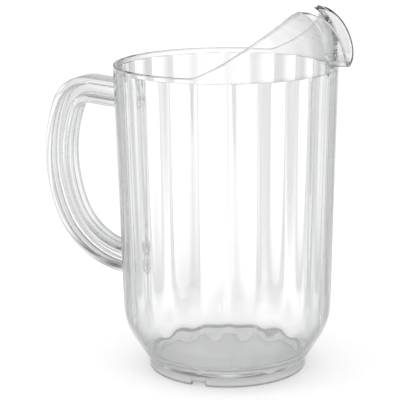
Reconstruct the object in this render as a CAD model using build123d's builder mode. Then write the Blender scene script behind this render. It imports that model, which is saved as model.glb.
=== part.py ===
from build123d import *
import os
from math import cos, pi, sin

# A clear moulded beer pitcher: a fluted vessel whose wall rises towards the spout, a
# pour lip, an open I-section handle and a foot ring. Sizes are millimetres and angles
# degrees. The origin is on the vessel's axis at the table, +Z up, +X towards the spout.

# Vessel
rim_radius = 65.0
rim_height = 181.5
waist_radius = 61.5
waist_height = 38.0
cone_radius = 56.2
cone_height = 20.0
neck_radius = 47.4
wall = 2.6
floor_thickness = 3.5
floor_corner_radius = 7.0

# Flutes moulded on the inner wall
flute_count = 24
flute_depth = 1.1
flute_land = 0.1
flute_top_gap = 3.0

# Foot
foot_radius = 46.9
foot_height = 6.0
foot_wall = 3.4
foot_round = 1.5
drain_width = 8.0
drain_height = 2.4

# Front of the wall, which rises and leans in over the vessel towards the spout
ear_rise = 32.5
ear_setback = 15.0
lean_start = 10.0
lean_radius = 27.1
lean_angle = 70.0
rim_rise_start = 3.0

# Pour lip, a trough whose section is an upright U
lip_overhang = 9.5
lip_floor_rise = 3.0
lip_wall = 2.4
root_half_width = 17.2
root_floor_curve = 10.0
root_floor_drop = 3.2
tip_half_width = 8.0
tip_floor_curve = 12.0

# Handle
handle_width = 15.0
handle_depth = 15.5
flange_thickness = 4.3
web_thickness = 3.6
handle_top_height = 167.3
handle_slope = 5.7
top_length = 23.0
top_bend_radius = 22.9
top_bend_angle = 74.9
grip_radius = 96.5
grip_angle = 42.7
low_bend_radius = 53.9
low_bend_angle = 57.9
handle_edge_round = 1.0

# Length that cuts and roots run past what they meet
overrun = 4.0

# Shares of the rise from the level rim to the ears: along X, then up
rise_shares = [(0.30, 0.16), (0.66, 0.51), (0.90, 0.83)]

ear_height = rim_height + ear_rise
ear_reach = rim_radius - ear_setback
lip_reach = rim_radius + lip_overhang
floor_height = foot_height + floor_thickness
bore_radius = rim_radius - wall
cone_slope = (cone_radius - neck_radius) / (cone_height - foot_height)
inner_floor_radius = neck_radius - wall + floor_thickness * cone_slope

os.makedirs("parts", exist_ok=True)


def wall_line(inset, low_radius, low_height):
    """Outline from the axis along the floor, up the wall and over the leaning front."""
    base = Line((0, low_height), (low_radius, low_height))
    cone = Line(base @ 1, (cone_radius - inset, cone_height))
    bulge = TangentArc(cone @ 1, (waist_radius - inset, waist_height), tangent=cone % 1)
    side = Line(bulge @ 1, (rim_radius - inset, rim_height))
    post = Line(side @ 1, side @ 1 + (0, lean_start))
    lean = JernArc(post @ 1, (0, 1), lean_radius - inset, lean_angle)
    cap = Line(lean @ 1, (0, (lean @ 1).Y))
    Line(cap @ 1, base @ 0)


def flute_ring(radius):
    """Closed ring of arcs that bulge towards the axis between points on a circle."""
    step = 2 * pi / flute_count
    for i in range(flute_count):
        low, middle, high = (i + 0.5) * step, (i + 1) * step, (i + 1.5) * step
        depth_radius = radius - flute_depth
        ThreePointArc(
            (radius * cos(low), radius * sin(low)),
            (depth_radius * cos(middle), depth_radius * sin(middle)),
            (radius * cos(high), radius * sin(high)),
        )


def trough_line(half_width, floor_curve, floor):
    """Upright U section of the lip, closed well above the ears."""
    level = floor + floor_curve
    bottom = EllipticalCenterArc((0, level), half_width, floor_curve, 180, arc_size=180)
    right = Line(bottom @ 1, (half_width, ear_height + overrun))
    top = Line(right @ 1, (-half_width, ear_height + overrun))
    Line(top @ 1, bottom @ 0)


def handle_line(inset):
    """The handle's outer line from the upper to the lower root, moved in by inset."""
    start = (-bore_radius, handle_top_height - inset)
    top = PolarLine(start, top_length, 180 - handle_slope)
    upper = JernArc(top @ 1, top % 1, top_bend_radius - inset, top_bend_angle)
    grip = JernArc(upper @ 1, upper % 1, grip_radius - inset, grip_angle)
    lower = JernArc(grip @ 1, grip % 1, low_bend_radius - inset, low_bend_angle)
    return top @ 0, Line(lower @ 1, lower @ 1 + (lower % 1) * overrun) @ 1


def handle_band(outer_inset, inner_inset):
    """Closed band between two lines along the handle."""
    outer_start, outer_end = handle_line(outer_inset)
    inner_start, inner_end = handle_line(inner_inset)
    Line(outer_start, inner_start)
    Line(outer_end, inner_end)


# Outer form of the vessel and its leaning front, solid
with BuildPart() as outer_form:
    with BuildSketch(Plane.XZ):
        with BuildLine():
            wall_line(0, neck_radius, foot_height)
        make_face()
    revolve(axis=Axis.Z)

# Space inside the vessel, with the flutes standing into it
with BuildPart() as flute_core:
    with BuildSketch(Plane.XY.offset(floor_height)):
        with BuildLine():
            flute_ring(waist_radius - wall + flute_land)
        make_face()
    with BuildSketch(Plane.XY.offset(rim_height - flute_top_gap)):
        with BuildLine():
            flute_ring(bore_radius + flute_land)
        make_face()
    loft(ruled=True)
    with BuildSketch(Plane.XY.offset(rim_height - flute_top_gap)):
        Circle(rim_radius)
    extrude(amount=flute_top_gap + ear_rise + overrun)

with BuildPart() as cavity:
    with BuildSketch(Plane.XZ):
        with BuildLine():
            wall_line(wall, inner_floor_radius, floor_height)
        make_face()
    revolve(axis=Axis.Z)
    fillet(cavity.edges().group_by(Axis.Z)[0], floor_corner_radius)
    add(flute_core.part, mode=Mode.INTERSECT)

# Everything above the rim line, seen from the side
with BuildPart() as above_rim:
    with BuildSketch(Plane.XZ):
        with BuildLine():
            run = ear_reach - rim_rise_start
            rise_points = [(rim_rise_start, rim_height)] + [
                (rim_rise_start + along * run, rim_height + up * ear_rise)
                for along, up in rise_shares
            ] + [(ear_reach, ear_height)]
            level = Line((-rim_radius - overrun, rim_height), rise_points[0])
            rise = Spline(rise_points, tangents=[(1, 0), (1, 0)])
            ear_top = Line(rise @ 1, (rim_radius + overrun, ear_height))
            right = Line(ear_top @ 1, ear_top @ 1 + (0, ear_rise))
            top = Line(right @ 1, (-rim_radius - overrun, ear_height + ear_rise))
            Line(top @ 1, level @ 0)
        make_face()
    extrude(amount=rim_radius + overrun, both=True)

# Troughs that shape the outside and the inside of the lip
with BuildPart() as trough_outside:
    with BuildSketch(Plane.YZ.offset(ear_reach)):
        with BuildLine():
            trough_line(
                root_half_width, root_floor_curve, rim_height + lip_floor_rise - root_floor_drop
            )
        make_face()
    with BuildSketch(Plane.YZ.offset(lip_reach + overrun)):
        with BuildLine():
            trough_line(tip_half_width, tip_floor_curve, rim_height + lip_floor_rise - lip_wall)
        make_face()
    loft(ruled=True)

with BuildPart() as trough_inside:
    with BuildSketch(Plane.YZ.offset(ear_reach)):
        with BuildLine():
            trough_line(
                root_half_width - lip_wall,
                root_floor_curve - lip_wall,
                rim_height + lip_floor_rise - root_floor_drop + lip_wall,
            )
        make_face()
    with BuildSketch(Plane.YZ.offset(lip_reach + overrun)):
        with BuildLine():
            trough_line(
                tip_half_width - lip_wall, tip_floor_curve - lip_wall, rim_height + lip_floor_rise
            )
        make_face()
    loft(ruled=True)

# Vessel with its raised front, open at the notch behind the lip
with BuildPart() as vessel:
    add(outer_form.part)
    add(cavity.part, mode=Mode.SUBTRACT)
    add(above_rim.part, mode=Mode.SUBTRACT)
    add(trough_inside.part, mode=Mode.SUBTRACT)

# Pour lip in front of the wall, its free edge a quarter of an ellipse from the side
with BuildPart() as pour_lip:
    add(trough_outside.part)
    add(trough_inside.part, mode=Mode.SUBTRACT)
    with BuildSketch(Plane.XZ):
        with BuildLine():
            tip_height = rim_height + lip_floor_rise
            crown = EllipticalCenterArc(
                (ear_reach, tip_height), lip_reach - ear_reach, ear_height - tip_height, 0
            )
            back = Line(crown @ 1, (ear_reach, rim_height - overrun))
            under = Line(back @ 1, (lip_reach, rim_height - overrun))
            Line(under @ 1, crown @ 0)
        make_face()
    extrude(amount=rim_radius, both=True, mode=Mode.INTERSECT)
    add(outer_form.part, mode=Mode.SUBTRACT)

# Foot ring with two drain gaps
with BuildPart() as foot_ring:
    with BuildSketch():
        Circle(foot_radius)
        Circle(foot_radius - foot_wall, mode=Mode.SUBTRACT)
    extrude(amount=foot_height)
    fillet(foot_ring.edges().filter_by(GeomType.CIRCLE).group_by(Axis.Z)[0], foot_round)
    with BuildSketch():
        Rectangle(drain_width, 2 * (foot_radius + overrun))
    extrude(amount=drain_height, mode=Mode.SUBTRACT)

# Handle, two flanges joined by a web in the middle plane
with BuildPart() as handle:
    for outer_inset, inner_inset, width in (
        (0, flange_thickness, handle_width),
        (flange_thickness, handle_depth - flange_thickness, web_thickness),
        (handle_depth - flange_thickness, handle_depth, handle_width),
    ):
        with BuildSketch(Plane.XZ):
            with BuildLine():
                handle_band(outer_inset, inner_inset)
            make_face()
        extrude(amount=width / 2, both=True)
    side_edges = handle.edges().group_by(Axis.Y)
    fillet(side_edges[0] + side_edges[-1], handle_edge_round)
    add(outer_form.part, mode=Mode.SUBTRACT)

vessel.part.label = "vessel"
pour_lip.part.label = "pour_lip"
foot_ring.part.label = "foot_ring"
handle.part.label = "handle"
for piece in (vessel, pour_lip, foot_ring, handle):
    export_step(piece.part, f"parts/{piece.part.label}.step")
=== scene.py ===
from math import cos, pi, radians, sin

import bmesh
import bpy
import numpy as np
from mathutils import Matrix, Vector


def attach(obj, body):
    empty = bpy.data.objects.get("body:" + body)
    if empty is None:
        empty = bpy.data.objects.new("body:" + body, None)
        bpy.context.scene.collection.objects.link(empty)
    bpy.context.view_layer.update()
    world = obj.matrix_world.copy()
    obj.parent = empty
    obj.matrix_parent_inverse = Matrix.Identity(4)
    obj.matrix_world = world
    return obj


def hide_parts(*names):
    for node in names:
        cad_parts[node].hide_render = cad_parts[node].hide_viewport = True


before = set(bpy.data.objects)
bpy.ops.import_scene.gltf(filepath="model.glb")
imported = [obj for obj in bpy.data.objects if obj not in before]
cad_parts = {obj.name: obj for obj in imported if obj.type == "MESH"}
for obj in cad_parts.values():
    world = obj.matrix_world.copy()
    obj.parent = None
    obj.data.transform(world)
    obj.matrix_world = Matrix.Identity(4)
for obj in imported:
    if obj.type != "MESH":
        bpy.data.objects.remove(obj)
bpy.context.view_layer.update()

# The clear moulded pitcher. Sizes are millimetres, and make_mesh turns them into metres.
# The origin is on the vessel's axis at the table, +Z up, +X towards the spout.
MM = 0.001
PIECES = ["vessel", "foot_ring", "pour_lip", "handle"]

# Vessel
RIM_RADIUS = 65.0
RIM_HEIGHT = 181.5
WAIST_RADIUS = 61.5
WAIST_HEIGHT = 38.0
CONE_RADIUS = 56.2
CONE_HEIGHT = 20.0
NECK_RADIUS = 47.4
NECK_ROUND = 0.35
WALL = 2.6
FLOOR_HEIGHT = 9.5
FLOOR_CORNER = 7.0
INNER_FLOOR_RADIUS = 47.0

# Flutes on the inner wall, which end at a ledge under the rim
FLUTES = 24
FLUTE_DEPTH = 1.1
FLUTE_LAND = 0.1
FLUTE_FADE = 0.25
LEDGE_HEIGHT = RIM_HEIGHT - 3.0
LEDGE_ROUND = 0.35

# Foot
FOOT_RADIUS = 46.9
FOOT_HEIGHT = 6.0
FOOT_WALL = 3.4
FOOT_ROUND = 1.5
RECESS_ROUND = 0.8
DRAIN_HALF_WIDTH = 4.0
DRAIN_HEIGHT = 2.4
DRAIN_SLOPE = 0.7

# Raised front of the wall. The shares of its rise run along X, then up.
LEAN_START = 10.0
LEAN_RADIUS = 27.1
EAR_HEIGHT = RIM_HEIGHT + 32.5
EAR_REACH = RIM_RADIUS - 15.0
RISE_START = 3.0
RISE_SHARES = [(0.0, 0.0), (0.30, 0.16), (0.66, 0.51), (0.90, 0.83), (1.0, 1.0)]
RIM_ROUND = 0.8

# Pour lip, whose section changes evenly from the root plane to the tip plane. Each section
# is given by its half width, the height of its curved bottom and the height of its floor.
LIP_REACH = RIM_RADIUS + 9.5
TIP_PLANE = LIP_REACH + 4.0
TIP_HEIGHT = RIM_HEIGHT + 3.0
LIP_WALL = 2.4
ROOT_DROP = 3.2
OUTSIDE_ROOT = (17.2, 10.0, TIP_HEIGHT - ROOT_DROP)
OUTSIDE_TIP = (8.0, 12.0, TIP_HEIGHT - LIP_WALL)
CREASE_ROUND = 1.3
NOTCH_ROUND = 1.5

# Handle, an I section swept along a straight run and arcs, each with a radius and a turn.
# Where it meets the wall the section swells outwards by ROOT_FILLET, so WEB_FILLET has to
# stay larger. The handle ends at two upright planes inside the wall.
HANDLE_HALF_WIDTH = 7.5
HANDLE_DEPTH = 15.5
FLANGE = 4.3
WEB_HALF = 1.8
HANDLE_TOP = 167.3
HANDLE_START = WALL - RIM_RADIUS
HANDLE_SLOPE = radians(5.7)
TOP_RUN = 23.0
HANDLE_ARCS = [(22.9, radians(74.9)), (96.5, radians(42.7)), (53.9, radians(57.9))]
HANDLE_ROUND = 0.9
WEB_FILLET = 1.3
ROOT_FILLET = 0.8
UPPER_ROOT_X = -63.2
LOWER_ROOT_X = -60.3

# Columns round the surface, crowded at the flutes' grooves. At the ear the lip's inner edge
# runs into the notch over EAR_COLUMNS, roundings grow over SHARP_EAR_COLUMNS, and the inner
# rim's shift falls to a share of NOTCH_FADE with each column.
FLUTE_COLUMNS = 16
GROOVE_CROWDING = 0.9
LIP_COLUMNS = 28
EAR_COLUMNS = 6
SHARP_EAR_COLUMNS = 4
NOTCH_FADE = 0.6

# Rows of the surface, from the middle of the underside up the outside and down the inside
UNDERSIDE_SHARES = (0.25, 0.5, 0.75, 0.9)
UNDERSIDE_ROWS = len(UNDERSIDE_SHARES) + 1
CORNER_ROWS = 4
NECK_ROWS = 3
CONE_ROWS = 6
SHOULDER_ROWS = 16
SIDE_ROWS = 22
WALL_ROWS = 14
CREASE_ROWS = 6
LIP_ROWS = 8
EDGE_ROWS = 5
LEDGE_ROWS = 3
INNER_SIDE_ROWS = 24
INNER_SHOULDER_ROWS = 22
INNER_CONE_ROWS = 3
FLOOR_CORNER_ROWS = 8

# Stations of the handle: the turn between two, and shares of the way into the wall
ARC_STEP = radians(1.0)
UPPER_ROOT_SHARES = [1.0, 0.975, 0.955, 0.935, 0.92, 0.9, 0.88, 0.85, 0.8, 0.65, 0.5, 0.35, 0.2]
LOWER_ROOT_SHARES = np.linspace(0.08, 1, 14)

# Limits of the geometry: a rounding's largest share of the surface beside it, the shortest
# stretch of wall, points tried along the lip and the rim, halvings of a search, and the
# ends of the searches for the crease, along X, and for the ear, along the trough
ROUND_SHARE = 0.45
SHORTEST_WALL = 0.5
LIP_TRIES = 400
RIM_TRIES = 600
HALVINGS = 50
CREASE_SEARCH = (38.0, RIM_RADIUS + 1.0)
EAR_SEARCH = (1.5, 2.0)

# Distances, in metres, within which points are joined
WELD = 1e-6
HANDLE_WELD = 1e-7
SEAM_WELD = 2e-6

# Edges: the angle that stays sharp, the shortest distance that a turn is measured over, and
# the tightness, in radians per millimetre, where an edge's painted shade starts to show and shows
# fully
SHARP_ANGLE = radians(38)
EDGE_STEP = 0.25
EDGE_LOW = 0.15
EDGE_HIGH = 0.6


def bend(start, corner, end, steps):
    """Rows of points that turn from start to end inside a corner, start left out."""
    rows = []
    for i in range(1, steps + 1):
        t = i / steps
        rows.append((1 - t) ** 2 * start + 2 * t * (1 - t) * corner + t * t * end)
    return rows


def blend_rows(start, end, steps):
    """Rows evenly spaced between two rows, start left out."""
    return [start + (end - start) * i / steps for i in range(1, steps + 1)]


def towards(start, end, distance):
    """Point at a distance from start on the way to end."""
    gap = end - start
    length = np.maximum(np.linalg.norm(gap, axis=-1, keepdims=True), 1e-9)
    return start + gap / length * np.asarray(distance)[..., None]


def rounded(points, radii, steps=CORNER_ROWS):
    """Outline through points, each corner turned by a curve that starts its radius away."""
    points = [np.array(p, float) for p in points]
    line = [points[0]]
    for before, corner, after, radius in zip(points, points[1:], points[2:], radii):
        start, end = towards(corner, before, radius), towards(corner, after, radius)
        line.append(start)
        line += bend(start, corner, end, steps)
    return line + [points[-1]]


def solve(function, low, high):
    """Where an increasing function crosses zero, for whole rows at a time."""
    low, high = np.array(low, float), np.array(high, float)
    for _ in range(HALVINGS):
        middle = (low + high) / 2
        above = function(middle) > 0
        low, high = np.where(above, low, middle), np.where(above, middle, high)
    return (low + high) / 2


def even_places(points, count):
    """Indices, with fractions, that space count points evenly along a line of points."""
    steps = np.linalg.norm(np.diff(points, axis=0), axis=1)
    along = np.concatenate([[0], np.cumsum(steps)])
    return np.interp(np.linspace(0, along[-1], count), along, np.arange(len(points)))


def pick(values, places):
    """Values at indices with fractions."""
    return np.interp(places, np.arange(len(values)), values)


def column_angles():
    """Angles of the columns from the spout to the handle, crowded at the flutes' grooves."""
    half = FLUTE_COLUMNS // 2
    across = np.arange(-half, half) / half
    reach = GROOVE_CROWDING * pi / 2
    place = 0.5 * np.sin(across * reach) / sin(reach)
    turns = (np.arange(FLUTES)[:, None] + place[None, :]).ravel()
    turns = np.roll(turns, -half)
    angles = turns / FLUTES * 2 * pi
    return angles[: FLUTES * FLUTE_COLUMNS // 2 + 1]


def flute_fall(angles):
    """Depth of the flutes at each angle."""
    step = 2 * pi / FLUTES
    across = 2 * ((angles / step + 0.5) % 1.0 - 0.5)
    return FLUTE_DEPTH * (1 - across**2)


def ring(radius, height, angles):
    """Row of points at a radius and a height."""
    radius, height = radius + 0 * angles, height + 0 * angles
    return np.stack([radius * np.cos(angles), radius * np.sin(angles), height], axis=1)


def rise(x):
    """Height of the rim seen from the side: level, then up to the ears."""
    shares = np.array(RISE_SHARES)
    along = RISE_START + shares[:, 0] * (EAR_REACH - RISE_START)
    up = RIM_HEIGHT + shares[:, 1] * (EAR_HEIGHT - RIM_HEIGHT)
    slopes = np.gradient(up, along)
    slopes[0] = slopes[-1] = 0
    x = np.clip(x, along[0], along[-1])
    i = np.clip(np.searchsorted(along, x) - 1, 0, len(along) - 2)
    width = along[i + 1] - along[i]
    t = (x - along[i]) / width
    return (
        (2 * t**3 - 3 * t**2 + 1) * up[i]
        + (t**3 - 2 * t**2 + t) * width * slopes[i]
        + (3 * t**2 - 2 * t**3) * up[i + 1]
        + (t**3 - t**2) * width * slopes[i + 1]
    )


def wall_radius(height, inset):
    """Radius of the straight side of the wall."""
    share = (height - WAIST_HEIGHT) / (RIM_HEIGHT - WAIST_HEIGHT)
    return WAIST_RADIUS + (RIM_RADIUS - WAIST_RADIUS) * share - inset


def upper_radius(height, inset):
    """Radius of the wall above the level rim, upright and then leaning inwards."""
    climb = np.clip(height - RIM_HEIGHT - LEAN_START, 0, LEAN_RADIUS - inset)
    return RIM_RADIUS - LEAN_RADIUS + np.sqrt((LEAN_RADIUS - inset) ** 2 - climb**2)


def upper_point(along, angles, inset):
    """Point on the wall at a distance above the ledge, measured on the outside."""
    below, post = RIM_HEIGHT - LEDGE_HEIGHT, RIM_HEIGHT - LEDGE_HEIGHT + LEAN_START
    turn = np.clip(along - post, 0, None) / LEAN_RADIUS
    height = LEDGE_HEIGHT + np.minimum(along, post) + (LEAN_RADIUS - inset) * np.sin(turn)
    radius = RIM_RADIUS - LEAN_RADIUS + (LEAN_RADIUS - inset) * np.cos(turn)
    low = along < below
    radius = np.where(low, wall_radius(LEDGE_HEIGHT + along, inset), radius)
    return np.stack([radius * np.cos(angles), radius * np.sin(angles), height], axis=-1)


def place_on_wall(point, inset):
    """Distance above the ledge and angle of a point on the wall."""
    climb = np.clip(point[..., 2] - RIM_HEIGHT - LEAN_START, 0, None)
    straight = np.minimum(point[..., 2], RIM_HEIGHT + LEAN_START) - LEDGE_HEIGHT
    along = straight + LEAN_RADIUS * np.arcsin(np.clip(climb / (LEAN_RADIUS - inset), 0, 1))
    return along, np.arctan2(point[..., 1], point[..., 0])


def inside_of(section):
    """The lip's inner section, one wall thickness inside an outer one."""
    half, curve, floor = section
    return half - LIP_WALL, curve - LIP_WALL, floor + LIP_WALL


def trough_point(x, place, root, tip):
    """Point on the trough: place 0 at the bottom, 1 where the side starts, 2 at ear height."""
    share = (x - EAR_REACH) / (TIP_PLANE - EAR_REACH)
    half, curve, floor = (a + (b - a) * share for a, b in zip(root, tip))
    turn = np.clip(place, 0, 1) * pi / 2
    side = np.clip(place - 1, 0, None) * (EAR_HEIGHT - floor - curve)
    return np.stack([x, half * np.sin(turn), floor + curve * (1 - np.cos(turn)) + side], axis=-1)


def trough_at_wall(place, root, tip, inset):
    """Where the trough's rulings meet the wall."""

    def outside(x):
        point = trough_point(x, place, root, tip)
        return np.hypot(x, point[..., 1]) - upper_radius(point[..., 2], inset)

    low, high = CREASE_SEARCH
    x = solve(outside, low + 0 * place, high + 0 * place)
    return trough_point(x, place, root, tip)


def trough_at_crown(place, root, tip):
    """Where the trough's rulings meet the lip's free edge."""

    def outside(x):
        up = np.clip(trough_point(x, place, root, tip)[..., 2] - TIP_HEIGHT, 0, None)
        reach = (x - EAR_REACH) / (LIP_REACH - EAR_REACH)
        return reach**2 + (up / (EAR_HEIGHT - TIP_HEIGHT)) ** 2 - 1

    x = solve(outside, EAR_REACH + 0 * place, LIP_REACH + 0 * place)
    return trough_point(x, place, root, tip)


def spout_lines():
    """Crease, outer and inner free edge and notch edge of the lip, from middle to ear."""
    outside = (OUTSIDE_ROOT, OUTSIDE_TIP)
    inside = (inside_of(OUTSIDE_ROOT), inside_of(OUTSIDE_TIP))

    def past_ear(place):
        edge, crease = trough_at_crown(place, *outside), trough_at_wall(place, *outside, 0)
        return crease[..., 0] - edge[..., 0]

    def past_rise(place):
        notch = trough_at_wall(place, *inside, WALL)
        return notch[..., 2] - rise(notch[..., 0])

    search = np.array(EAR_SEARCH)[:, None]
    outer_end = solve(past_ear, *search)[0]
    inner_end = solve(past_rise, *search)[0]
    dense = np.linspace(0, outer_end, LIP_TRIES)
    places = pick(dense, even_places(trough_at_wall(dense, *outside, 0), LIP_COLUMNS + 1))
    crease = trough_at_wall(places, *outside, 0)
    edge_out = trough_at_crown(places, *outside)
    edge_in = trough_at_crown(places, *inside)
    notch = trough_at_wall(places * inner_end / outer_end, *inside, WALL)
    past = np.arange(LIP_COLUMNS + 1) - (LIP_COLUMNS - EAR_COLUMNS)
    near_ear = np.clip(past / EAR_COLUMNS, 0, 1) ** 2
    edge_in = edge_in + near_ear[:, None] * (notch[-1] - edge_in[-1])
    return crease, edge_out, edge_in, notch


def rim_line(first_angle, angles):
    """Distance above the ledge and angle of the rim's columns, from the ear to the handle."""
    dense = np.linspace(first_angle, pi / 2, RIM_TRIES)

    def over(along, at):
        point = upper_point(along, at, 0)
        return point[..., 2] - rise(point[..., 0])

    high = 0 * dense + RIM_HEIGHT - LEDGE_HEIGHT + LEAN_START + LEAN_RADIUS
    along = solve(lambda a: over(a, dense), 0 * dense, high)
    quarter = FLUTES * FLUTE_COLUMNS // 4
    places = even_places(upper_point(along, dense, 0), quarter - LIP_COLUMNS + 1)
    front_angles = pick(dense, places)
    front = solve(lambda a: over(a, front_angles), 0 * front_angles, high[: len(front_angles)])
    back_angles = angles[quarter + 1 :]
    back = 0 * back_angles + RIM_HEIGHT - LEDGE_HEIGHT
    return np.concatenate([front, back]), np.concatenate([front_angles, back_angles])


def wall_rows(along, at, angles, inset, stop):
    """Rows up the wall from the ledge to a distance short of the place given."""
    end = upper_point(along, at, inset)
    start = upper_point(0 * along, angles, inset)
    length = np.linalg.norm(end - start, axis=1)
    share = 1 - stop / np.maximum(length, stop + SHORTEST_WALL)
    rows = []
    for i in range(1, WALL_ROWS + 1):
        t = share * i / WALL_ROWS
        rows.append(upper_point(along * t, angles + (at - angles) * t, inset))
    return rows


def edge_rows(edge, root, along, at, angles, inset, root_round):
    """Rows on one face from the ledge to the rounded free edge, and the edge itself."""
    lip = LIP_COLUMNS + 1
    length = np.zeros(len(angles))
    length[:lip] = np.linalg.norm(edge - root, axis=1)
    from_ear = np.abs(np.arange(len(angles)) - LIP_COLUMNS)
    edge_round = RIM_ROUND * np.clip(from_ear / SHARP_EAR_COLUMNS, 0, 1)
    edge_round[:lip] = np.minimum(edge_round[:lip], ROUND_SHARE * length[:lip])
    stop = edge_round.copy()
    stop[:lip] = np.minimum(root_round, ROUND_SHARE * length[:lip])
    rows = wall_rows(along, at, angles, inset, stop)
    corner, after, before = rows[-1].copy(), rows[-1].copy(), rows[-1].copy()
    tip = upper_point(along, at, inset)
    corner[:lip] = root
    after[:lip] = towards(root, edge, stop[:lip])
    before[:lip] = towards(edge, root, edge_round[:lip])
    tip[:lip] = edge
    rows += bend(rows[-1], corner, after, CREASE_ROWS)
    rows += blend_rows(after, before, LIP_ROWS)
    return rows, tip


def upper_rows(angles):
    """Rows up the outside, out and back along the lip, and down to the ledge inside."""
    crease, edge_out, edge_in, notch = spout_lines()
    crease_along, crease_at = place_on_wall(crease, 0)
    notch_along, notch_at = place_on_wall(notch, WALL)
    rim_along, rim_at = rim_line(crease_at[-1], angles)
    fade = NOTCH_FADE ** np.arange(len(rim_along))
    inner_along = rim_along + fade * (notch_along[-1] - rim_along[0])
    inner_at = rim_at + fade * (notch_at[-1] - rim_at[0])
    out_along = np.concatenate([crease_along, rim_along[1:]])
    out_at = np.concatenate([crease_at, rim_at[1:]])
    in_along = np.concatenate([notch_along, inner_along[1:]])
    in_at = np.concatenate([notch_at, inner_at[1:]])
    outer, outer_tip = edge_rows(edge_out, crease, out_along, out_at, angles, 0, CREASE_ROUND)
    inner, inner_tip = edge_rows(edge_in, notch, in_along, in_at, angles, WALL, NOTCH_ROUND)
    middle = (outer_tip + inner_tip) / 2
    rows = outer + bend(outer[-1], outer_tip, middle, EDGE_ROWS)
    rows += bend(middle, inner_tip, inner[-1], EDGE_ROWS)
    return rows + inner[-2::-1]


def shoulder(inset, steps):
    """Arc of the shoulder, from the cone to the waist, that leaves the cone smoothly."""
    start = np.array([CONE_RADIUS - inset, CONE_HEIGHT])
    end = np.array([WAIST_RADIUS - inset, WAIST_HEIGHT])
    low = (NECK_RADIUS, FOOT_HEIGHT) if inset == 0 else (INNER_FLOOR_RADIUS, FLOOR_HEIGHT)
    heading = start - np.array(low)
    heading = heading / np.linalg.norm(heading)
    normal = np.array([-heading[1], heading[0]])
    gap = end - start
    radius = gap @ gap / (2 * gap @ normal)
    centre = start + radius * normal
    turn = 2 * np.arcsin(np.linalg.norm(gap) / (2 * radius))
    points = []
    for i in range(1, steps + 1):
        a = turn * i / steps
        arm = -normal * cos(a) + heading * sin(a)
        points.append(centre + radius * arm)
    return points


def foot_rows(angles):
    """Rows from the middle of the underside, round the foot ring, to the vessel's lower edge."""
    inner = FOOT_RADIUS - FOOT_WALL
    line = rounded(
        [
            (0, FOOT_HEIGHT),
            (inner, FOOT_HEIGHT),
            (inner, 0),
            (FOOT_RADIUS, 0),
            (FOOT_RADIUS, FOOT_HEIGHT),
        ],
        [RECESS_ROUND, FOOT_ROUND, FOOT_ROUND],
    )
    middle = [np.array([inner * share, FOOT_HEIGHT]) for share in UNDERSIDE_SHARES]
    across = np.abs(FOOT_RADIUS * np.cos(angles))
    gap = DRAIN_HEIGHT * np.clip((DRAIN_HALF_WIDTH + DRAIN_SLOPE - across) / DRAIN_SLOPE, 0, 1)
    rows = []
    for radius, height in [line[0], *middle, *line[1:]]:
        rows.append(ring(radius, gap + height * (FOOT_HEIGHT - gap) / FOOT_HEIGHT, angles))
    return rows


def outer_rows(angles):
    """Rows up the outside of the vessel to the height of the ledge."""
    neck, cone = (NECK_RADIUS, FOOT_HEIGHT), (CONE_RADIUS, CONE_HEIGHT)
    line = rounded([(FOOT_RADIUS, FOOT_HEIGHT), neck, cone], [NECK_ROUND], NECK_ROWS)
    line = line[1:-1] + blend_rows(line[-2], np.array(cone), CONE_ROWS)
    line += shoulder(0, SHOULDER_ROWS)
    top = np.array([wall_radius(LEDGE_HEIGHT, 0), LEDGE_HEIGHT])
    line += blend_rows(line[-1], top, SIDE_ROWS)
    return [ring(radius, height, angles) for radius, height in line]


def inner_rows(angles):
    """Rows from the ledge down the flutes, over the shoulder and across the floor."""
    cone = (CONE_RADIUS - WALL, CONE_HEIGHT)
    corner = [(0, FLOOR_HEIGHT), (INNER_FLOOR_RADIUS, FLOOR_HEIGHT), cone]
    floor = rounded(corner, [FLOOR_CORNER], FLOOR_CORNER_ROWS)
    middle = [np.array([floor[1][0] * share, FLOOR_HEIGHT]) for share in UNDERSIDE_SHARES]
    line = [floor[0], *middle, *floor[1:-1]]
    line += blend_rows(line[-1], np.array(cone), INNER_CONE_ROWS)
    line += shoulder(WALL, INNER_SHOULDER_ROWS)
    top = np.array([wall_radius(LEDGE_HEIGHT, WALL), LEDGE_HEIGHT])
    line += blend_rows(line[-1], top, INNER_SIDE_ROWS)
    low, high = WAIST_RADIUS - WALL + FLUTE_LAND, RIM_RADIUS - WALL + FLUTE_LAND
    rows = []
    for radius, height in line:
        share = (height - FLOOR_HEIGHT) / (LEDGE_HEIGHT - FLOOR_HEIGHT)
        fluted = low + (high - low) * share - flute_fall(angles)
        softest = -FLUTE_FADE * np.logaddexp(-radius / FLUTE_FADE, -fluted / FLUTE_FADE)
        rows.append(ring(np.minimum(softest, radius), height, angles))
    ledge = rows[-1]
    bore = ring(wall_radius(LEDGE_HEIGHT, WALL), LEDGE_HEIGHT, angles)
    depth = np.linalg.norm(bore - ledge, axis=1)
    size = np.minimum(LEDGE_ROUND, ROUND_SHARE * depth)
    under = ledge - np.stack([0 * size, 0 * size, size], axis=1)
    turn = bend(under, ledge, towards(ledge, bore, size), LEDGE_ROWS)
    return [bore] + turn[::-1] + [under] + rows[-2::-1]


def mirror_rows(rows):
    """Whole rows from the rows of one side, all round the vessel."""
    flip = np.array([1, -1, 1])
    return [np.concatenate([row, row[-2:0:-1] * flip]) for row in rows]


def make_mesh(name, points, faces, kinds):
    """Mesh whose faces keep the place of their piece in PIECES as a material index."""
    mesh = bpy.data.meshes.new(name)
    mesh.from_pydata([tuple(p * MM) for p in points], [], faces)
    for _ in PIECES:
        mesh.materials.append(None)
    mesh.polygons.foreach_set("material_index", kinds)
    piece = bpy.data.objects.new(name, mesh)
    bpy.context.collection.objects.link(piece)
    return piece


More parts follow.
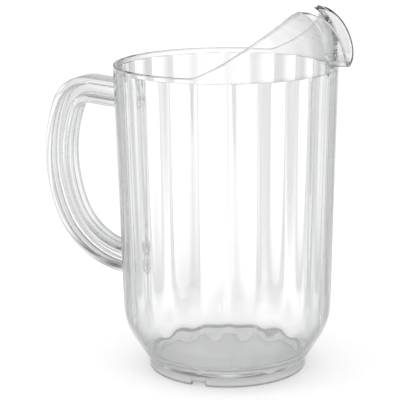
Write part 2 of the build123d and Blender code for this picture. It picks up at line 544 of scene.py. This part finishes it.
def grid_faces(rows, columns):
    """Quads between rows that close on themselves."""
    faces = []
    for low in range(0, (rows - 1) * columns, columns):
        high = low + columns
        for c in range(columns):
            d = (c + 1) % columns
            faces.append((low + c, low + d, high + d, high + c))
    return faces


def weld(piece, distance):
    """Joins points that coincide, and turns all faces outwards."""
    bm = bmesh.new()
    bm.from_mesh(piece.data)
    bmesh.ops.remove_doubles(bm, verts=bm.verts, dist=distance)
    bmesh.ops.dissolve_degenerate(bm, edges=bm.edges, dist=distance)
    bmesh.ops.recalc_face_normals(bm, faces=bm.faces)
    bm.to_mesh(piece.data)
    bm.free()


def make_shell():
    """Vessel, foot ring and lip as one closed surface of rows and columns."""
    angles = column_angles()
    foot, outer, upper = foot_rows(angles), outer_rows(angles), upper_rows(angles)
    rows = mirror_rows(foot + outer + upper + inner_rows(angles))
    columns = len(rows[0])
    kinds = np.full((len(rows) - 1, columns), PIECES.index("vessel"))
    kinds[UNDERSIDE_ROWS : len(foot) - 1] = PIECES.index("foot_ring")
    # The lip's border lies in the middle of its roundings at the crease and the notch
    low = len(foot) + len(outer) + WALL_ROWS + CREASE_ROWS // 2
    high = len(foot) + len(outer) + len(upper) - WALL_ROWS - CREASE_ROWS // 2 - 1
    kinds[low:high, :LIP_COLUMNS] = PIECES.index("pour_lip")
    kinds[low:high, columns - LIP_COLUMNS :] = PIECES.index("pour_lip")
    faces = grid_faces(len(rows), columns)
    shell = make_mesh("shell", np.concatenate(rows), faces, kinds.ravel())
    weld(shell, WELD)
    return shell


def handle_path():
    """Points and headings along the handle's outer line."""
    heading = pi - HANDLE_SLOPE
    point = np.array([HANDLE_START, HANDLE_TOP]) + TOP_RUN * np.array([cos(heading), sin(heading)])
    stations = [(point, heading)]
    for radius, turn in HANDLE_ARCS:
        steps = round(turn / ARC_STEP)
        centre = point + radius * np.array([-sin(heading), cos(heading)])
        for _ in range(steps):
            heading += turn / steps
            point = centre - radius * np.array([-sin(heading), cos(heading)])
            stations.append((point, heading))
    return stations


def handle_section():
    """Closed outline of the I section, as inset and distance sideways, and its normals."""
    inner_web, outer_web = HANDLE_DEPTH - FLANGE, FLANGE
    half = rounded(
        [
            (0, 0),
            (0, HANDLE_HALF_WIDTH),
            (outer_web, HANDLE_HALF_WIDTH),
            (outer_web, WEB_HALF),
            (inner_web, WEB_HALF),
            (inner_web, HANDLE_HALF_WIDTH),
            (HANDLE_DEPTH, HANDLE_HALF_WIDTH),
            (HANDLE_DEPTH, 0),
        ],
        [HANDLE_ROUND, HANDLE_ROUND, WEB_FILLET, WEB_FILLET, HANDLE_ROUND, HANDLE_ROUND],
    )
    other = [p * np.array([1, -1]) for p in half[-2:0:-1]]
    outline = np.array(half + other)
    along = np.roll(outline, -1, axis=0) - np.roll(outline, 1, axis=0)
    along = along / np.linalg.norm(along, axis=1, keepdims=True)
    outward = np.stack([-along[:, 1], along[:, 0]], axis=1)
    return outline, outward


def make_handle():
    """Handle whose section swells into a fillet where it meets the wall."""
    outline, outward = handle_section()

    def section(point, heading, shift=0.0, plane=0.0):
        """Points of the section at a station, moved a share of the way to an upright plane."""
        along = np.array([cos(heading), sin(heading)])
        inward = np.array([-sin(heading), cos(heading)])
        flat = point + outline[:, :1] * inward
        flat = flat + ((plane - flat[:, :1]) / along[0] * shift) * along
        placed = np.stack([flat[:, 0], outline[:, 1], flat[:, 1]], axis=1)
        gap = np.hypot(placed[:, 0], placed[:, 1]) - wall_radius(placed[:, 2], 0)
        near = np.clip(ROOT_FILLET - gap, 0, ROOT_FILLET)
        swell = ROOT_FILLET - np.sqrt(ROOT_FILLET**2 - near**2)
        push = [outward[:, 0] * inward[0], outward[:, 1], outward[:, 0] * inward[1]]
        return placed + np.stack(push, axis=1) * swell[:, None]

    stations = handle_path()
    first, last = stations[0], stations[-1]
    rings = [section(*first, share, UPPER_ROOT_X) for share in UPPER_ROOT_SHARES]
    rings += [section(*station) for station in stations]
    rings += [section(*last, share, LOWER_ROOT_X) for share in LOWER_ROOT_SHARES]
    count = len(outline)
    faces = grid_faces(len(rings), count)
    faces.append(tuple(range(count)))
    faces.append(tuple(range(len(rings) * count - 1, (len(rings) - 1) * count - 1, -1)))
    kinds = np.full(len(faces), PIECES.index("handle"))
    handle = make_mesh("handle_sweep", np.concatenate(rings), faces, kinds)
    weld(handle, HANDLE_WELD)
    return handle


def unite(piece, other):
    """Fuses another closed piece into this one."""
    fuse = piece.modifiers.new("fuse", "BOOLEAN")
    fuse.object = other
    fuse.operation = "UNION"
    fuse.solver = "EXACT"
    fuse.material_mode = "INDEX"
    graph = bpy.context.evaluated_depsgraph_get()
    mesh = bpy.data.meshes.new_from_object(piece.evaluated_get(graph))
    piece.modifiers.clear()
    piece.data = mesh
    bpy.data.objects.remove(other)
    weld(piece, SEAM_WELD)


def mark_edges(mesh):
    """Point attribute for painted shade along edges: 1 where the surface turns tightly, 0 where it
    is flat.
    """
    loops, faces = len(mesh.loops), len(mesh.polygons)
    loop_edge, face_size = np.empty(loops, int), np.empty(faces, int)
    normals, centres = np.empty(faces * 3), np.empty(faces * 3)
    ends = np.empty(len(mesh.edges) * 2, int)
    mesh.loops.foreach_get("edge_index", loop_edge)
    mesh.polygons.foreach_get("loop_total", face_size)
    mesh.polygons.foreach_get("normal", normals)
    mesh.polygons.foreach_get("center", centres)
    mesh.edges.foreach_get("vertices", ends)
    normals, centres, ends = normals.reshape(-1, 3), centres.reshape(-1, 3), ends.reshape(-1, 2)
    loop_face = np.repeat(np.arange(faces), face_size)
    # Each edge of the closed surface has one loop in each of its two faces
    one, other = loop_face[np.argsort(loop_edge, kind="stable")].reshape(-1, 2).T
    turn = np.arccos(np.clip((normals[one] * normals[other]).sum(axis=1), -1, 1))
    gap = np.linalg.norm(centres[one] - centres[other], axis=1) / MM
    tightness = turn / np.maximum(gap, EDGE_STEP)
    tightest = np.zeros(len(mesh.vertices))
    np.maximum.at(tightest, ends[:, 0], tightness)
    np.maximum.at(tightest, ends[:, 1], tightness)
    share = np.clip((tightest - EDGE_LOW) / (EDGE_HIGH - EDGE_LOW), 0, 1)
    # The share says where shade is painted as grey lines along tight edges
    mesh.attributes.new("painted_edge_shade", "FLOAT", "POINT").data.foreach_set("value", share)


# Clear plastic, in metres. The painted shade by slant has places from 0, seen squarely, to 1,
# seen edge on. The painted shade fades out between the two numbers of passes through the surface.
PLASTIC_IOR = 1.57
WAVE_SCALE = 45.0
WAVE_DETAIL = 2.0
WAVE_STRENGTH = 0.02
WAVE_HEIGHT = 0.0006
WIPE_SCALE = 160.0
WIPE_DETAIL = 5.0
WIPE_RANGE = (0.35, 0.75)
WIPE_ROUGHNESS = 0.02
RUB_HEIGHT = 0.0012
RUB_ROUGHNESS = 0.5
# Painted shade by slant: white seen squarely, dark grey seen edge on
SLANT_PAINTED_SHADES = [
    (0.30, (0.995, 0.997, 0.997, 1)),
    (0.55, (0.68, 0.69, 0.69, 1)),
    (0.78, (0.28, 0.29, 0.29, 1)),
    (1.00, (0.10, 0.103, 0.103, 1)),
]
# Painted shade: the grey that tight edges are multiplied by
EDGE_PAINTED_SHADE = (0.56, 0.57, 0.57, 1)
PAINTED_SHADE_PASSES = (3.0, 7.0)


def calculate(tree, operation, *values):
    """Output of a math node whose inputs are sockets or numbers."""
    node = tree.nodes.new("ShaderNodeMath")
    node.operation = operation
    for socket, value in zip(node.inputs, values):
        if isinstance(value, bpy.types.NodeSocket):
            tree.links.new(value, socket)
        else:
            socket.default_value = value
    return node.outputs["Value"]


def remap(tree, value, low, high, to_low, to_high):
    """Output of a map range node, which stays between its two ends."""
    node = tree.nodes.new("ShaderNodeMapRange")
    node.inputs["From Min"].default_value = low
    node.inputs["From Max"].default_value = high
    node.inputs["To Min"].default_value = to_low
    node.inputs["To Max"].default_value = to_high
    tree.links.new(value, node.inputs["Value"])
    return node.outputs["Result"]


def noise(tree, place, scale, detail):
    """Output of a noise texture."""
    node = tree.nodes.new("ShaderNodeTexNoise")
    node.inputs["Scale"].default_value = scale
    node.inputs["Detail"].default_value = detail
    tree.links.new(place, node.inputs["Vector"])
    return node.outputs["Fac"]


def height_of(tree, place):
    """Height of a place."""
    node = tree.nodes.new("ShaderNodeSeparateXYZ")
    tree.links.new(place, node.inputs["Vector"])
    return node.outputs["Z"]


def mould_waves(tree, place):
    """Normal of a surface that is slightly wavy from the mould."""
    bump = tree.nodes.new("ShaderNodeBump")
    bump.inputs["Strength"].default_value = WAVE_STRENGTH
    bump.inputs["Distance"].default_value = WAVE_HEIGHT
    tree.links.new(noise(tree, place, WAVE_SCALE, WAVE_DETAIL), bump.inputs["Height"])
    return bump.outputs["Normal"]


def wiped_gloss(tree, place):
    """Roughness with faint wipe marks, and rubbed where the foot ring stands."""
    wipes = noise(tree, place, WIPE_SCALE, WIPE_DETAIL)
    marks = remap(tree, wipes, *WIPE_RANGE, 0.0, WIPE_ROUGHNESS)
    rubbed = remap(tree, height_of(tree, place), 0.0, RUB_HEIGHT, RUB_ROUGHNESS, 0.0)
    return calculate(tree, "MULTIPLY_ADD", rubbed, wipes, marks)


def slant_painted_shade(tree):
    """Painted shade: colour that gets greyer where a ray enters the plastic at a slant."""
    slant = tree.nodes.new("ShaderNodeLayerWeight")
    side = tree.nodes.new("ShaderNodeNewGeometry")
    outside = calculate(tree, "SUBTRACT", 1.0, side.outputs["Backfacing"])
    shade_ramp = tree.nodes.new("ShaderNodeValToRGB")
    stops = shade_ramp.color_ramp.elements
    while len(stops) < len(SLANT_PAINTED_SHADES):
        stops.new(1.0)
    for stop, (position, colour) in zip(stops, SLANT_PAINTED_SHADES):
        stop.position = position
        stop.color = colour
    entering = calculate(tree, "MULTIPLY", slant.outputs["Facing"], outside)
    tree.links.new(entering, shade_ramp.inputs["Fac"])
    return shade_ramp.outputs["Color"]


def mix_colour(tree, blend, share, base, colour):
    """Output of a colour mix between a socket and a fixed colour."""
    node = tree.nodes.new("ShaderNodeMix")
    node.data_type = "RGBA"
    node.blend_type = blend
    node.inputs["B"].default_value = colour
    tree.links.new(share, node.inputs["Factor"])
    tree.links.new(base, node.inputs["A"])
    return node.outputs["Result"]


def clear_plastic():
    """Clear styrene copolymer: glossy, with painted shade that makes it greyer at edges and at a
    slant.

    The painted shade stops after a few passes through the surface, because it stands for what is
    seen at first sight, and would turn long ways through the plastic black.
    """
    material = bpy.data.materials.new("clear_plastic")
    material.use_nodes = True
    tree = material.node_tree
    shader = tree.nodes["Principled BSDF"]
    shader.inputs["Transmission Weight"].default_value = 1.0
    shader.inputs["IOR"].default_value = PLASTIC_IOR
    place = tree.nodes.new("ShaderNodeTexCoord").outputs["Object"]
    edge = tree.nodes.new("ShaderNodeAttribute")
    edge.attribute_name = "painted_edge_shade"
    path = tree.nodes.new("ShaderNodeLightPath")
    passed = remap(tree, path.outputs["Transmission Depth"], *PAINTED_SHADE_PASSES, 0.0, 1.0)
    # Painted shade: grey along tight edges times the slant's grey, back to white after a few passes
    painted_shade = mix_colour(tree, "MULTIPLY", edge.outputs["Fac"], slant_painted_shade(tree), EDGE_PAINTED_SHADE)
    colour = mix_colour(tree, "MIX", passed, painted_shade, (1, 1, 1, 1))
    tree.links.new(mould_waves(tree, place), shader.inputs["Normal"])
    tree.links.new(wiped_gloss(tree, place), shader.inputs["Roughness"])
    tree.links.new(colour, shader.inputs["Base Color"])
    return material


def part_mesh(mesh, name, kind):
    """Mesh of the faces of one kind."""
    bm = bmesh.new()
    bm.from_mesh(mesh)
    others = [face for face in bm.faces if face.material_index != kind]
    bmesh.ops.delete(bm, geom=others, context="FACES")
    for face in bm.faces:
        face.material_index = 0
    part = bpy.data.meshes.new(name)
    bm.to_mesh(part)
    bm.free()
    return part


def make_pitcher():
    """The moulding's surface, made whole so that it has no walls inside, then parted."""
    whole = make_shell()
    unite(whole, make_handle())
    mesh = whole.data
    for face in mesh.polygons:
        face.use_smooth = True
    mesh.set_sharp_from_angle(angle=SHARP_ANGLE)
    mark_edges(mesh)
    normals = np.empty(len(mesh.loops) * 3)
    mesh.corner_normals.foreach_get("vector", normals)
    kinds, sizes = np.empty(len(mesh.polygons), int), np.empty(len(mesh.polygons), int)
    mesh.polygons.foreach_get("material_index", kinds)
    mesh.polygons.foreach_get("loop_total", sizes)
    loop_kinds = np.repeat(kinds, sizes)
    plastic = clear_plastic()
    for kind, name in enumerate(PIECES):
        part = part_mesh(mesh, name + "_moulding", kind)
        part.materials.append(plastic)
        part.normals_split_custom_set(normals.reshape(-1, 3)[loop_kinds == kind].tolist())
        piece = bpy.data.objects.new(name + "_moulding", part)
        bpy.context.collection.objects.link(piece)
        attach(piece, "root")
        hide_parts(name)
    bpy.data.objects.remove(whole)


# Studio, in metres. Light panels with grey gaps stand all round under a grey ceiling, and
# are seen only in gloss and through the plastic. The sky's limits say how steeply a
# direction points up, from 0 at the horizon to 1 overhead.
FLOOR_SIZE = 12.0
FLOOR_ALBEDO = 0.8
FLOOR_GLOW = 0.38
SKY_LIGHT = 0.88
SKY_WHITE_BELOW = 0.25
SKY_GREY_ABOVE = 0.58
SKY_GREY = 0.5
PANELS = 16
PANEL_GAP = 0.34
PANEL_FADE = (0.07, 0.18)
BOUNCES = 64
KEY_LAMP = {"place": (-0.9, -0.7, 1.6), "size": 0.9, "power": 3}
FILL_LAMP = {"place": (1.3, -0.9, 1.2), "size": 0.9, "power": 2}
LAMP_AIM = (0, 0, 0.1)


def seen_in_object(tree, path):
    """1 for rays that show the studio in gloss or through the plastic."""
    glossy, through = path.outputs["Is Glossy Ray"], path.outputs["Is Transmission Ray"]
    either = calculate(tree, "MAXIMUM", glossy, through)
    clean = calculate(tree, "LESS_THAN", path.outputs["Diffuse Depth"], 0.5)
    return calculate(tree, "MULTIPLY", either, clean)


def panel_gaps(tree, place):
    """Share of grey at each bearing: the soft gaps between light panels all round."""
    split = tree.nodes.new("ShaderNodeSeparateXYZ")
    tree.links.new(place, split.inputs["Vector"])
    x, y = split.outputs["X"], split.outputs["Y"]
    bearing = calculate(tree, "ARCTAN2", y, x)
    wave = calculate(tree, "COSINE", calculate(tree, "MULTIPLY", bearing, PANELS))
    gap = remap(tree, wave, 1.0, -1.0, 0.0, PANEL_GAP)
    squares = calculate(tree, "ADD", calculate(tree, "POWER", x, 2), calculate(tree, "POWER", y, 2))
    fade = remap(tree, calculate(tree, "SQRT", squares), *PANEL_FADE, 0.0, 1.0)
    return calculate(tree, "MULTIPLY", gap, fade)


def mix_shaders(tree, share, first, second):
    """Output of a shader mix."""
    node = tree.nodes.new("ShaderNodeMixShader")
    tree.links.new(share, node.inputs["Fac"])
    tree.links.new(first, node.inputs[1])
    tree.links.new(second, node.inputs[2])
    return node.outputs["Shader"]


def emission(tree, strength):
    """Output of a white emission."""
    node = tree.nodes.new("ShaderNodeEmission")
    node.inputs["Strength"].default_value = strength
    return node.outputs["Emission"]


def make_floor():
    """Pale floor that shows white where it is lit, and keeps a soft shadow.

    In gloss and through the plastic it has the same grey gaps as the sky.
    """
    bpy.ops.mesh.primitive_plane_add(size=FLOOR_SIZE)
    floor = bpy.context.object
    floor.name = "studio_floor"
    material = bpy.data.materials.new("studio_floor")
    material.use_nodes = True
    tree = material.node_tree
    tree.nodes.clear()
    paper = tree.nodes.new("ShaderNodeBsdfDiffuse")
    paper.inputs["Color"].default_value = (FLOOR_ALBEDO, FLOOR_ALBEDO, FLOOR_ALBEDO, 1)
    white = tree.nodes.new("ShaderNodeAddShader")
    tree.links.new(paper.outputs["BSDF"], white.inputs[0])
    tree.links.new(emission(tree, FLOOR_GLOW), white.inputs[1])

    path = tree.nodes.new("ShaderNodeLightPath")
    place = tree.nodes.new("ShaderNodeTexCoord").outputs["Object"]
    in_object = seen_in_object(tree, path)
    grey = calculate(tree, "MULTIPLY", panel_gaps(tree, place), in_object)
    through = mix_shaders(tree, grey, white.outputs["Shader"], emission(tree, 0.0))
    by_eye = calculate(tree, "MAXIMUM", path.outputs["Is Camera Ray"], in_object)
    seen = mix_shaders(tree, by_eye, paper.outputs["BSDF"], through)
    output = tree.nodes.new("ShaderNodeOutputMaterial")
    tree.links.new(seen, output.inputs["Surface"])
    floor.data.materials.append(material)


def make_sky():
    """White for the eye, an even light, and in the object white panels under a grey ceiling."""
    world = bpy.data.worlds.new("studio")
    bpy.context.scene.world = world
    world.use_nodes = True
    tree = world.node_tree
    background = tree.nodes["Background"]
    path = tree.nodes.new("ShaderNodeLightPath")
    place = tree.nodes.new("ShaderNodeTexCoord").outputs["Generated"]
    height = height_of(tree, place)
    ceiling = remap(tree, height, SKY_WHITE_BELOW, SKY_GREY_ABOVE, 1.0, SKY_GREY)
    ceiling.node.interpolation_type = "SMOOTHSTEP"
    panels = calculate(tree, "SUBTRACT", ceiling, panel_gaps(tree, place))
    lit = remap(tree, path.outputs["Is Camera Ray"], 0.0, 1.0, SKY_LIGHT, 1.0)
    level = tree.nodes.new("ShaderNodeMix")
    tree.links.new(seen_in_object(tree, path), level.inputs["Factor"])
    tree.links.new(lit, level.inputs["A"])
    tree.links.new(panels, level.inputs["B"])
    tree.links.new(level.outputs["Result"], background.inputs["Strength"])
    background.inputs["Color"].default_value = (1, 1, 1, 1)


def make_lamp(name, place, size, power):
    """Soft square lamp that points at the pitcher."""
    lamp = bpy.data.lights.new(name, "AREA")
    lamp.shape = "SQUARE"
    lamp.size = size
    lamp.energy = power
    stand = bpy.data.objects.new(name, lamp)
    stand.location = place
    aim = Vector(LAMP_AIM) - Vector(place)
    stand.rotation_euler = aim.to_track_quat("-Z", "Y").to_euler()
    bpy.context.collection.objects.link(stand)


# Camera, found from the photograph: the lens in millimetres, its place in metres and its
# angles in radians. It looks along +Y, and is then turned about the pitcher's axis.
LENS = 139.37
CAMERA_PLACE = (0.0, -0.8860, 0.3094)
CAMERA_PITCH = 0.23213
CAMERA_YAW = -0.01762
CAMERA_ROLL = -0.01061
CAMERA_TURN = radians(21.5)


def make_camera():
    """Camera at the photograph's viewing angle."""
    flat = cos(CAMERA_PITCH)
    ahead = Vector((sin(CAMERA_YAW) * flat, cos(CAMERA_YAW) * flat, -sin(CAMERA_PITCH)))
    level = Vector((cos(CAMERA_YAW), -sin(CAMERA_YAW), 0))
    up = level.cross(ahead)
    right = level * cos(CAMERA_ROLL) + up * sin(CAMERA_ROLL)
    top = up * cos(CAMERA_ROLL) - level * sin(CAMERA_ROLL)
    turned = Matrix((right, top, -ahead)).transposed().to_4x4()
    camera = bpy.data.cameras.new("camera")
    camera.lens = LENS
    holder = bpy.data.objects.new("camera", camera)
    spin = Matrix.Rotation(CAMERA_TURN, 4, "Z")
    holder.matrix_world = spin @ Matrix.Translation(CAMERA_PLACE) @ turned
    bpy.context.collection.objects.link(holder)
    bpy.context.scene.camera = holder


make_pitcher()
make_floor()
make_sky()
make_lamp("key_lamp", **KEY_LAMP)
make_lamp("fill_lamp", **FILL_LAMP)
make_camera()
scene = bpy.context.scene
scene.view_settings.view_transform = "Standard"
scene.cycles.max_bounces = BOUNCES
scene.cycles.transmission_bounces = BOUNCES
scene.cycles.glossy_bounces = BOUNCES
